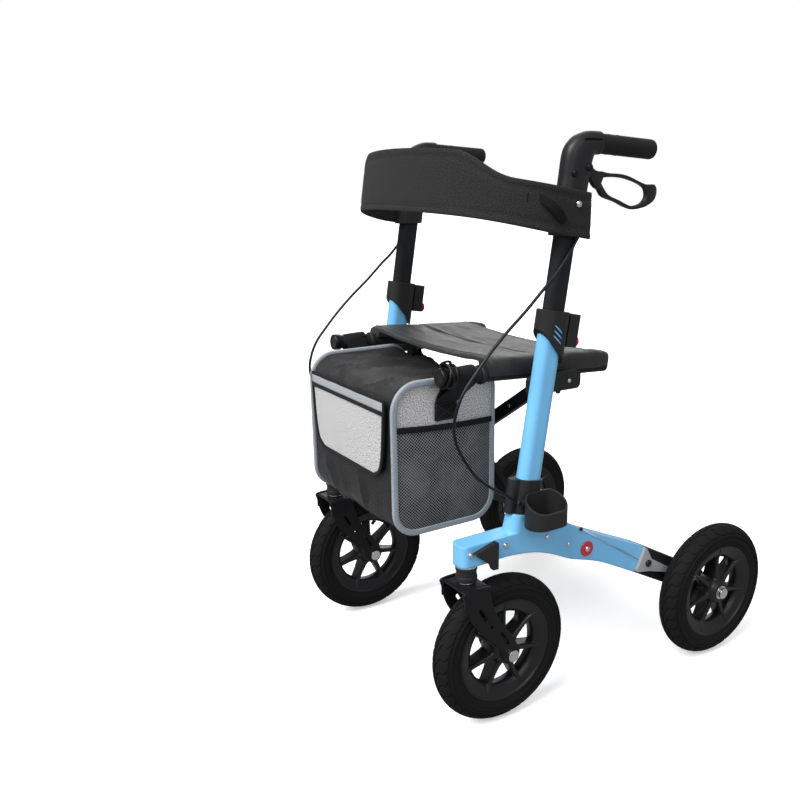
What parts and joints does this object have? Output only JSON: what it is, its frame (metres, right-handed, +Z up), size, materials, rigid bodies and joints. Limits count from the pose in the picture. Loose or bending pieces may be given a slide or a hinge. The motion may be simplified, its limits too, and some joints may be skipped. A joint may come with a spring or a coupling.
{
  "type": "all terrain rollator",
  "caption": "Folding walking frame on large air-filled wheels, with swivelling front casters, loop brakes, height-adjustable handles, sling seat, backrest band and front bag.",
  "frame": {"origin": "middle of the footprint of the object's bounding box, on the floor", "axes": "+Z up, the walker faces -Y, +X to the walker's left"},
  "size_m": [0.643, 0.7339, 0.943],
  "materials": {
    "blue_casting": "satin powder coat",
    "blue_tube": "satin anodised",
    "black_plastic": "fine moulded grain",
    "red_plastic": "gloss",
    "black_steel": "satin black",
    "bright_steel": "bright",
    "tyre": "moulded rubber",
    "rim_plastic": "gloss black",
    "grey_steel": "satin grey",
    "dark_tube": "anthracite",
    "grip_rubber": "soft rubber",
    "cable_jacket": "smooth",
    "seat_cloth": "grained",
    "band_cloth": "woven",
    "bag_cloth": "melange and nylon",
    "flap_cloth": "melange"
  },
  "bodies": {
    "left_frame": {"base_beam_left": "blue_casting", "upright_left": "blue_tube", "foot_sleeve_left": "black_plastic", "collar_left": "black_plastic", "bearing_cup_left": "black_plastic", "rear_arm_left": "black_plastic", "rear_axle_left": "bright_steel", "rail_bracket_left": "black_plastic", "kerb_guard_left": "black_plastic", "frame_screws_left": "bright_steel", "brake_cable_left": "cable_jacket"},
    "left_button": {"lock_button_left": "red_plastic"},
    "left_handle": {"handle_tube_left": "dark_tube", "handle_housing_left": "black_plastic", "grip_left": "grip_rubber", "handle_screws_left": "bright_steel", "backrest": "band_cloth"},
    "left_lever": {"brake_lever_left": "black_plastic"},
    "left_brake_arm": {"brake_arm_left": "grey_steel"},
    "left_caster": {"caster_fork_left": "black_steel", "front_axle_left": "bright_steel"},
    "left_front_wheel": {"front_tyre_left": "tyre", "front_rim_left": "rim_plastic", "front_bearings_left": "bright_steel"},
    "left_rear_wheel": {"rear_tyre_left": "tyre", "rear_rim_left": "rim_plastic", "rear_bearings_left": "bright_steel"},
    "left_rail": {"seat_rail_left": "dark_tube", "seat_sling": "seat_cloth", "bag_body": "bag_cloth"},
    "right_frame": {"base_beam_right": "blue_casting", "upright_right": "blue_tube", "foot_sleeve_right": "black_plastic", "collar_right": "black_plastic", "bearing_cup_right": "black_plastic", "rear_arm_right": "black_plastic", "rear_axle_right": "bright_steel", "rail_bracket_right": "black_plastic", "kerb_guard_right": "black_plastic", "frame_screws_right": "bright_steel", "brake_cable_right": "cable_jacket"},
    "right_button": {"lock_button_right": "red_plastic"},
    "right_handle": {"handle_tube_right": "dark_tube", "handle_housing_right": "black_plastic", "grip_right": "grip_rubber", "handle_screws_right": "bright_steel"},
    "right_lever": {"brake_lever_right": "black_plastic"},
    "right_brake_arm": {"brake_arm_right": "grey_steel"},
    "right_caster": {"caster_fork_right": "black_steel", "front_axle_right": "bright_steel"},
    "right_front_wheel": {"front_tyre_right": "tyre", "front_rim_right": "rim_plastic", "front_bearings_right": "bright_steel"},
    "right_rear_wheel": {"rear_tyre_right": "tyre", "rear_rim_right": "rim_plastic", "rear_bearings_right": "bright_steel"},
    "right_rail": {"seat_rail_right": "dark_tube"},
    "bar_a": {"cross_bar_a": "dark_tube"},
    "bar_b": {"cross_bar_b": "dark_tube"},
    "bag_flap": {"bag_flap": "flap_cloth"}
  },
  "joints": [
    {"name": "fold", "type": "hinge", "parent": "left_frame", "child": "bar_a", "pos_m": [0.195, -0.119, 0.296], "axis": [0, 1, 0], "range_deg": [0, 40], "deforming": ["seat_sling", "backrest", "bag_body", "bag_flap"]},
    {"name": "fold_cross", "type": "hinge", "parent": "bar_a", "child": "bar_b", "pos_m": [0, -0.112, 0.42272], "axis": [0, 1, 0], "range_deg": [-80, 0]},
    {"name": "fold_right_frame", "type": "hinge", "parent": "bar_b", "child": "right_frame", "pos_m": [-0.195, -0.105, 0.296], "axis": [0, 1, 0], "range_deg": [0, 40]},
    {"name": "fold_left_rail", "type": "hinge", "parent": "bar_b", "child": "left_rail", "pos_m": [0.182, -0.105, 0.541], "axis": [0, 1, 0], "range_deg": [0, 40]},
    {"name": "fold_right_rail", "type": "hinge", "parent": "bar_a", "child": "right_rail", "pos_m": [-0.182, -0.119, 0.541], "axis": [0, 1, 0], "range_deg": [-40, 0]},
    {"name": "left_handle_height", "type": "slide", "parent": "left_frame", "child": "left_handle", "axis": [0, 0.1597, 0.9872], "range_m": [-0.1, 0.03], "deforming": ["brake_cable_left"]},
    {"name": "left_lock_press", "type": "slide", "parent": "left_frame", "child": "left_button", "axis": [0, -0.9872, 0.1597], "range_m": [0, 0.003], "stiffness_N_per_m": 500, "springref_m": -0.002},
    {"name": "left_squeeze", "type": "hinge", "parent": "left_handle", "child": "left_lever", "pos_m": [0.234, -0.06952, 0.88958], "axis": [1, 0, 0], "range_deg": [0, 12], "stiffness_Nm_per_rad": 1.5, "springref_deg": -5.73},
    {"name": "left_brake", "type": "hinge", "parent": "left_frame", "child": "left_brake_arm", "pos_m": [0.256, 0.09868, 0.20289], "axis": [1, 0, 0], "range_deg": [0, 6]},
    {"name": "left_swivel", "type": "hinge", "parent": "left_frame", "child": "left_caster", "pos_m": [0.234, -0.282, 0.275], "axis": [0, 0, 1], "continuous": true},
    {"name": "left_front_roll", "type": "hinge", "parent": "left_caster", "child": "left_front_wheel", "pos_m": [0.234, -0.216, 0.127], "axis": [1, 0, 0], "continuous": true},
    {"name": "left_rear_roll", "type": "hinge", "parent": "left_frame", "child": "left_rear_wheel", "pos_m": [0.289, 0.24, 0.127], "axis": [1, 0, 0], "continuous": true},
    {"name": "right_handle_height", "type": "slide", "parent": "right_frame", "child": "right_handle", "axis": [0, 0.1597, 0.9872], "range_m": [-0.1, 0.03], "deforming": ["brake_cable_right"]},
    {"name": "right_lock_press", "type": "slide", "parent": "right_frame", "child": "right_button", "axis": [0, -0.9872, 0.1597], "range_m": [0, 0.003], "stiffness_N_per_m": 500, "springref_m": -0.002},
    {"name": "right_squeeze", "type": "hinge", "parent": "right_handle", "child": "right_lever", "pos_m": [-0.234, -0.06952, 0.88958], "axis": [1, 0, 0], "range_deg": [0, 12], "stiffness_Nm_per_rad": 1.5, "springref_deg": -5.73},
    {"name": "right_brake", "type": "hinge", "parent": "right_frame", "child": "right_brake_arm", "pos_m": [-0.256, 0.09868, 0.20289], "axis": [1, 0, 0], "range_deg": [0, 6]},
    {"name": "right_swivel", "type": "hinge", "parent": "right_frame", "child": "right_caster", "pos_m": [-0.234, -0.282, 0.275], "axis": [0, 0, 1], "continuous": true},
    {"name": "right_front_roll", "type": "hinge", "parent": "right_caster", "child": "right_front_wheel", "pos_m": [-0.234, -0.216, 0.127], "axis": [1, 0, 0], "continuous": true},
    {"name": "right_rear_roll", "type": "hinge", "parent": "right_frame", "child": "right_rear_wheel", "pos_m": [-0.289, 0.24, 0.127], "axis": [1, 0, 0], "continuous": true},
    {"name": "flap_lift", "type": "hinge", "parent": "left_rail", "child": "bag_flap", "pos_m": [0, -0.3641, 0.54512], "axis": [-1, 0, 0], "range_deg": [0, 90]}
  ],
  "couplings": [
    {"joint": "fold_cross", "follows": "fold", "ratio": -2},
    {"joint": "fold_right_frame", "follows": "fold", "ratio": 1},
    {"joint": "fold_left_rail", "follows": "fold", "ratio": 1},
    {"joint": "fold_right_rail", "follows": "fold", "ratio": -1},
    {"joint": "left_brake", "follows": "left_squeeze", "ratio": 0.5},
    {"joint": "right_brake", "follows": "right_squeeze", "ratio": 0.5},
    {"joint": "right_handle_height", "follows": "left_handle_height", "ratio": 1}
  ]
}
